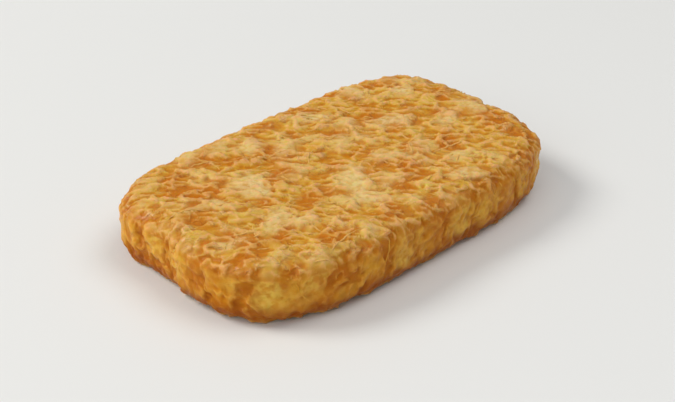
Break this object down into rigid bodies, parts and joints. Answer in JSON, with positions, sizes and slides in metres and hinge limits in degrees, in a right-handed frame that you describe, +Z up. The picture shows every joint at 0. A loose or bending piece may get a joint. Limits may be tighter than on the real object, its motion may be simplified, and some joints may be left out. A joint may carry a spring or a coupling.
{
  "type": "potato rosti",
  "caption": "Rounded rectangular patty of grated potato, fried to a crisp, bumpy golden-brown crust with paler shreds showing, lying flat.",
  "frame": {"origin": "middle of the footprint, on the surface that the patty lies on", "axes": "+X along the length, +Y across the width, +Z up"},
  "size_m": [0.11, 0.0672, 0.0174],
  "materials": {
    "fried_potato": "crisp golden-brown fried crust with oily crests and paler, smoother shreds"
  },
  "bodies": {
    "root": {"rosti": "fried_potato"}
  },
  "joints": []
}
